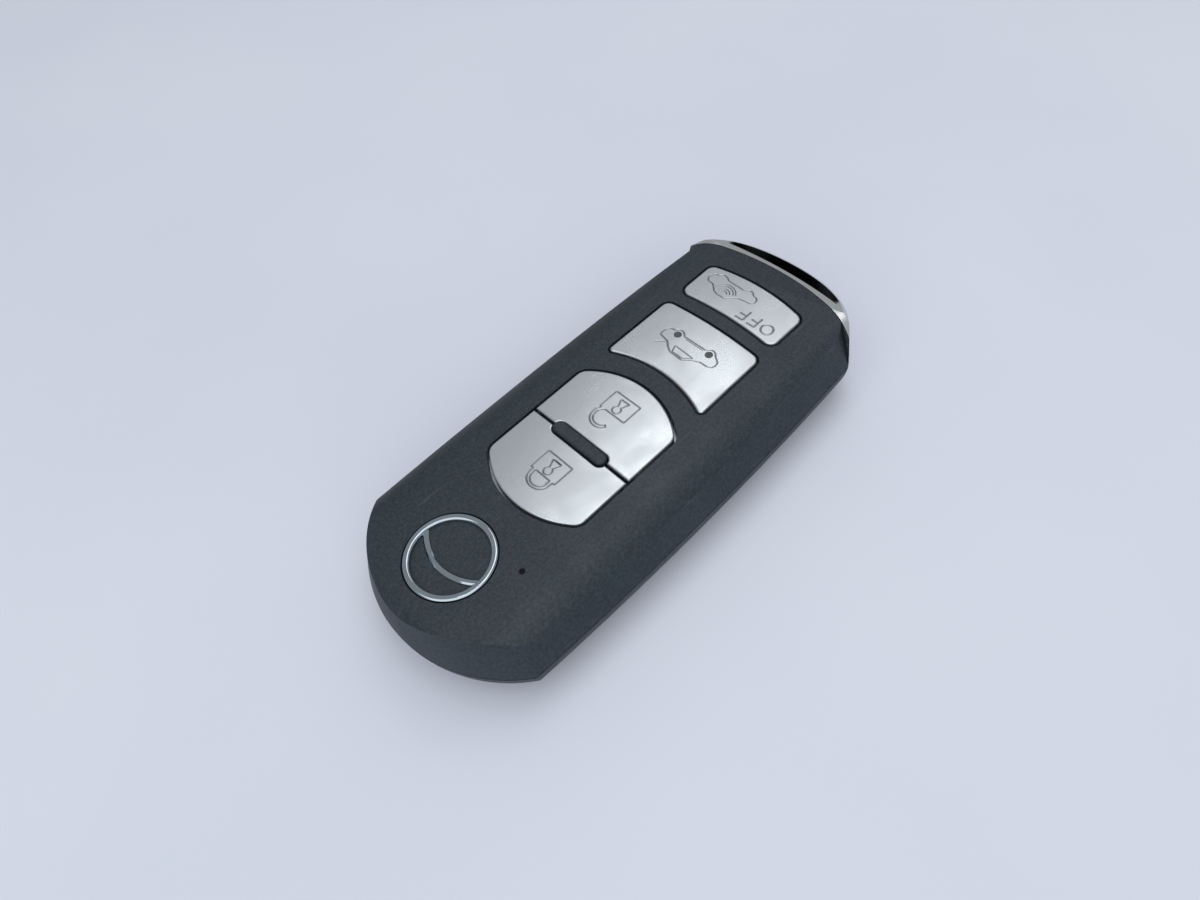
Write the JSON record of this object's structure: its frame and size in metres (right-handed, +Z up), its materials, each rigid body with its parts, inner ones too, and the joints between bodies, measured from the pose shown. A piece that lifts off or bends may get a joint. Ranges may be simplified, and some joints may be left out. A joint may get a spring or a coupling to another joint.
{
  "type": "car key fob",
  "caption": "Slim car key fob with black casing, silver push keys, round chrome badge and a silver bow that pulls out with the auxiliary key blade.",
  "frame": {"origin": "centre of the footprint on the surface it lies on, back down", "axes": "+X towards the key-ring end, +Y towards the side that holds the blade, +Z up through the keys"},
  "size_m": [0.0842, 0.0368, 0.0149],
  "materials": {
    "casing_black": "fine spark texture, matte",
    "badge_chrome": "polished",
    "clear_guide": "clear",
    "key_silver": "satin silver paint",
    "bow_silver": "satin silver paint",
    "mat_rubber": "matte silicone",
    "module_grey": "moulded matte",
    "board_green": "solder mask",
    "switch_steel": "stamped",
    "plunger_black": "moulded",
    "chip_black": "moulded epoxy",
    "chip_ceramic": "ceramic",
    "crystal_steel": "stamped can",
    "lamp_white": "moulded",
    "ferrite": "sintered matte",
    "winding_copper": "enamelled copper wire",
    "cell_steel": "nickel plated",
    "contact_steel": "plated spring strip",
    "blade_steel": "nickel plated, milled"
  },
  "bodies": {
    "housing": {"upper_shell": "casing_black", "lower_shell": "casing_black", "badge_plate": "casing_black", "battery_cap": "casing_black", "emblem": "badge_chrome", "light_guide": "clear_guide", "keypad_mat": "mat_rubber", "sealing_ring": "mat_rubber", "lock_dome": "mat_rubber", "unlock_dome": "mat_rubber", "trunk_dome": "mat_rubber", "sensor_dome": "mat_rubber", "module_base": "module_grey", "module_cover": "module_grey", "circuit_board": "board_green", "lock_switch": "switch_steel", "unlock_switch": "switch_steel", "trunk_switch": "switch_steel", "sensor_switch": "switch_steel", "control_chip": "chip_black", "radio_chip": "chip_black", "chip_components": "chip_ceramic", "crystal": "crystal_steel", "status_led": "lamp_white", "coil_core": "ferrite", "coil_winding": "winding_copper", "battery": "cell_steel", "positive_contact": "contact_steel", "negative_contact": "contact_steel", "release_spring": "blade_steel"},
    "lock_key": {"lock_button": "key_silver"},
    "unlock_key": {"unlock_button": "key_silver"},
    "trunk_key": {"trunk_button": "key_silver"},
    "sensor_key": {"sensor_button": "key_silver"},
    "lock_actuator": {"lock_plunger": "plunger_black"},
    "unlock_actuator": {"unlock_plunger": "plunger_black"},
    "trunk_actuator": {"trunk_plunger": "plunger_black"},
    "sensor_actuator": {"sensor_plunger": "plunger_black"},
    "knob": {"release_knob": "casing_black"},
    "aux_key": {"key_bow": "bow_silver", "key_blade": "blade_steel", "bow_pin": "blade_steel"}
  },
  "joints": [
    {"name": "lock_press", "type": "slide", "parent": "housing", "child": "lock_key", "axis": [0, 0, -1], "range_m": [0, 0.0005], "stiffness_N_per_m": 800, "springref_m": -0.0003, "deforming": ["lock_dome"]},
    {"name": "unlock_press", "type": "slide", "parent": "housing", "child": "unlock_key", "axis": [0, 0, -1], "range_m": [0, 0.0005], "stiffness_N_per_m": 800, "springref_m": -0.0003, "deforming": ["unlock_dome"]},
    {"name": "trunk_press", "type": "slide", "parent": "housing", "child": "trunk_key", "axis": [0, 0, -1], "range_m": [0, 0.0005], "stiffness_N_per_m": 800, "springref_m": -0.0003, "deforming": ["trunk_dome"]},
    {"name": "sensor_press", "type": "slide", "parent": "housing", "child": "sensor_key", "axis": [0, 0, -1], "range_m": [0, 0.0005], "stiffness_N_per_m": 800, "springref_m": -0.0003, "deforming": ["sensor_dome"]},
    {"name": "lock_actuate", "type": "slide", "parent": "housing", "child": "lock_actuator", "axis": [0, 0, -1], "range_m": [0, 0.00025]},
    {"name": "unlock_actuate", "type": "slide", "parent": "housing", "child": "unlock_actuator", "axis": [0, 0, -1], "range_m": [0, 0.00025]},
    {"name": "trunk_actuate", "type": "slide", "parent": "housing", "child": "trunk_actuator", "axis": [0, 0, -1], "range_m": [0, 0.00025]},
    {"name": "sensor_actuate", "type": "slide", "parent": "housing", "child": "sensor_actuator", "axis": [0, 0, -1], "range_m": [0, 0.00025]},
    {"name": "knob_press", "type": "slide", "parent": "housing", "child": "knob", "axis": [0, 0, 1], "range_m": [0, 0.0014], "stiffness_N_per_m": 600, "springref_m": -0.0008, "deforming": ["release_spring"]},
    {"name": "key_withdraw", "type": "slide", "parent": "housing", "child": "aux_key", "axis": [1, 0, 0], "range_m": [0, 0.045]}
  ],
  "couplings": [
    {"joint": "lock_actuate", "follows": "lock_press", "ratio": 0.5},
    {"joint": "unlock_actuate", "follows": "unlock_press", "ratio": 0.5},
    {"joint": "trunk_actuate", "follows": "trunk_press", "ratio": 0.5},
    {"joint": "sensor_actuate", "follows": "sensor_press", "ratio": 0.5}
  ]
}
